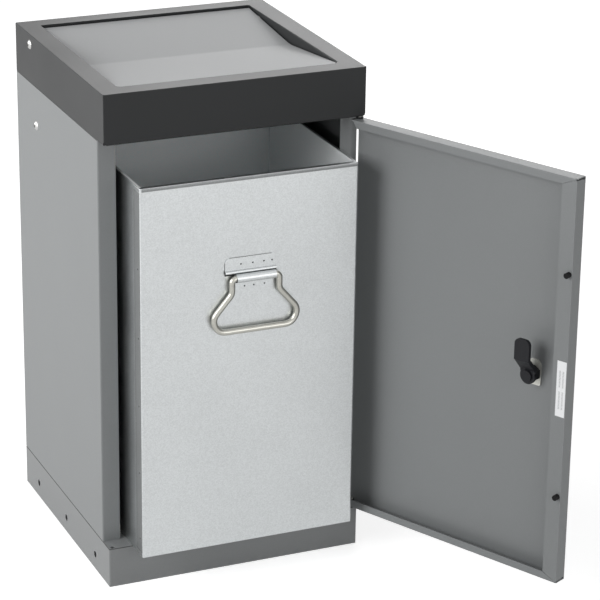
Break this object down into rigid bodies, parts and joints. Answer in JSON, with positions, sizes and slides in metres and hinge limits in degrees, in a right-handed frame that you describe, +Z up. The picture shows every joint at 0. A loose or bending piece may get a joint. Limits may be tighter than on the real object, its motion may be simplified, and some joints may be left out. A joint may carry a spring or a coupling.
{
  "type": "recycling bin",
  "caption": "Square steel cabinet bin on a plinth with hinged lockable front door, pull-out galvanised container with bail handle and self-closing throw-in flap.",
  "frame": {"origin": "middle of the plinth's underside, on the floor", "axes": "+X to the right as seen from the front, +Y to the back, so the door is on the -Y side, +Z up"},
  "size_m": [0.5041, 0.6599, 0.665],
  "materials": {
    "plinth_paint": "satin grey powder coat",
    "body_paint": "satin grey powder coat",
    "frame_paint": "satin anthracite powder coat",
    "flap_paint": "satin light grey powder coat",
    "galvanised": "galvanised sheet, fine spangle",
    "zinc": "zinc plated steel",
    "bright_bolt": "bright domed bolt heads",
    "bail_steel": "plain bent steel wire",
    "black_plastic": "black moulded plastic",
    "rubber": "black rubber",
    "bush_plastic": "pale bearing plastic",
    "label": "blank white label"
  },
  "bodies": {
    "cabinet": {"base_plinth": "plinth_paint", "body_shell": "body_paint", "top_frame": "frame_paint", "guide_left": "zinc", "guide_right": "zinc", "lower_hinge_pin": "zinc", "upper_hinge_pin": "zinc", "plinth_bolts": "zinc", "plinth_nuts": "zinc", "frame_bolts": "zinc", "frame_nuts": "zinc", "side_bolts": "bright_bolt", "side_spacers": "rubber", "side_nuts": "zinc", "flap_pivot_bolts": "bright_bolt", "flap_spacers": "zinc", "flap_nuts": "zinc", "flap_stop_bar": "rubber", "flap_springs": "zinc"},
    "flap": {"flap_panel": "flap_paint", "flap_bushes": "bush_plastic"},
    "door": {"door_panel": "body_paint", "lower_hinge_bush": "black_plastic", "upper_hinge_bush": "black_plastic", "door_buffers": "rubber", "door_label": "label", "lock_housing": "zinc", "lock_plate": "zinc", "lock_nut": "black_plastic"},
    "cam": {"key_plug": "zinc", "lock_cam": "black_plastic", "cam_screw": "black_plastic"},
    "container": {"container_shell": "galvanised", "container_base": "galvanised", "handle_bracket": "galvanised"},
    "bail": {"bail": "bail_steel"}
  },
  "joints": [
    {"name": "door_hinge", "type": "hinge", "parent": "cabinet", "child": "door", "pos_m": [0.169, -0.17, 0], "axis": [0, 0, 1], "range_deg": [-116.5, 63.5]},
    {"name": "container_slide", "type": "slide", "parent": "cabinet", "child": "container", "axis": [0, -1, 0], "range_m": [-0.0881, 0.0485]},
    {"name": "cam_turn", "type": "hinge", "parent": "door", "child": "cam", "pos_m": [0.30019, -0.42193, 0.327], "axis": [0.8949, 0.4462, 0], "range_deg": [0, 90]},
    {"name": "bail_swing", "type": "hinge", "parent": "container", "child": "bail", "pos_m": [0.008, -0.2195, 0.422], "axis": [-1, 0, 0], "range_deg": [0, 160]},
    {"name": "flap_pivot", "type": "hinge", "parent": "cabinet", "child": "flap", "pos_m": [0, 0.1137, 0.6513], "axis": [1, 0, 0], "range_deg": [0, 21], "stiffness_Nm_per_rad": 1.5, "springref_deg": -51.57, "deforming": ["flap_springs"]}
  ],
  "couplings": [
    {"joint": "container_slide", "follows": "door_hinge", "m_per_rad": 0.043279}
  ]
}
